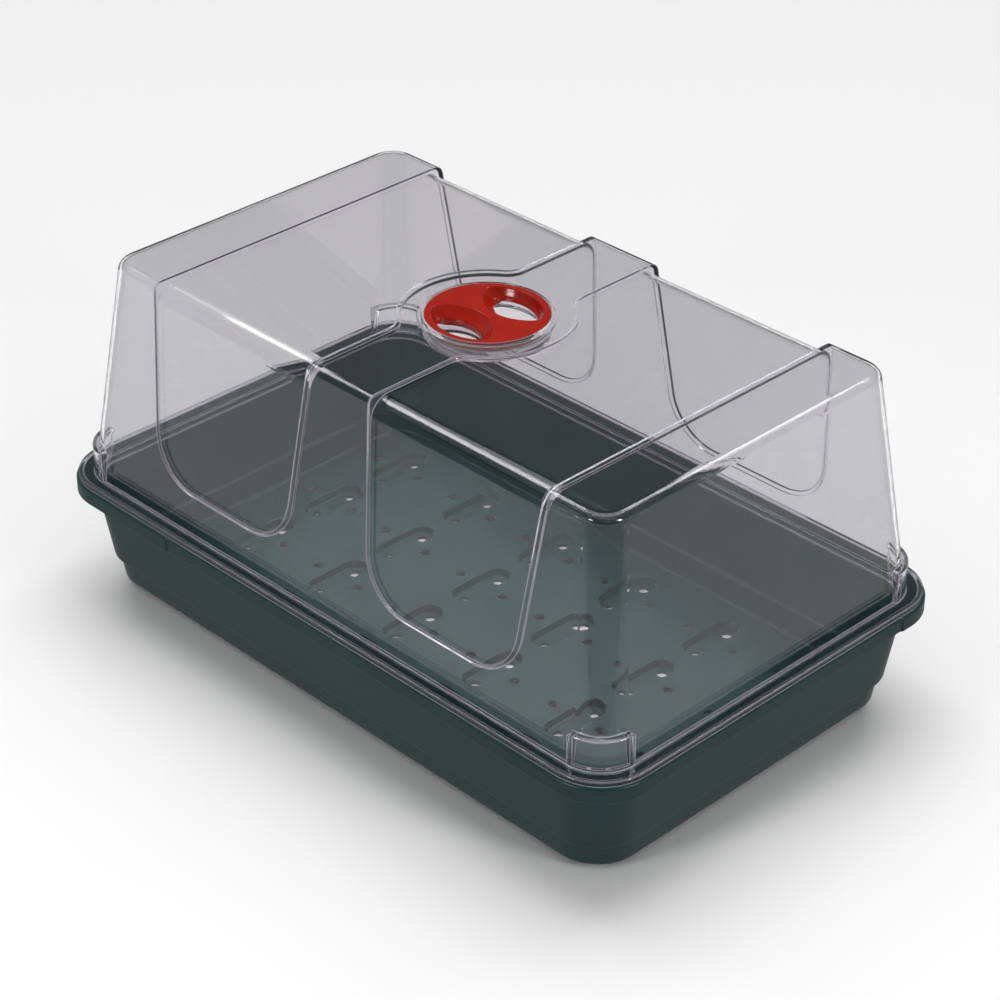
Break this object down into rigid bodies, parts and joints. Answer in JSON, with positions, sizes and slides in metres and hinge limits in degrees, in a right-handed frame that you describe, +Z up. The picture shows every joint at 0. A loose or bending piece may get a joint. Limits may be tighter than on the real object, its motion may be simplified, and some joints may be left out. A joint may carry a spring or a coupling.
{
  "type": "humidity dome tray",
  "caption": "Rectangular seed tray with standing drainage wells, a ribbed clear dome that lifts off its rim, and a round twist vent in the dome's top.",
  "frame": {"origin": "on the surface the tray stands on, under the middle of the tray", "axes": "+X along the tray's length, +Y across its width, +Z up through the vent"},
  "size_m": [0.38, 0.236, 0.1815],
  "materials": {
    "tray_plastic": "dark green moulded polypropylene, fine satin skin",
    "clear_plastic": "clear moulded polystyrene, polished",
    "vent_plastic": "red moulded plastic, satin on top and glossy in the pockets"
  },
  "bodies": {
    "tray": {"seed_tray": "tray_plastic"},
    "dome": {"dome": "clear_plastic"},
    "vent": {"vent_disc": "vent_plastic"}
  },
  "joints": [
    {"name": "dome_lift", "type": "slide", "parent": "tray", "child": "dome", "axis": [0, 0, 1], "range_m": [0, 0.16]},
    {"name": "vent_turn", "type": "hinge", "parent": "dome", "child": "vent", "pos_m": [0, 0, 0.1815], "axis": [0, 0, 1], "range_deg": [-82.5, 7.5]}
  ]
}
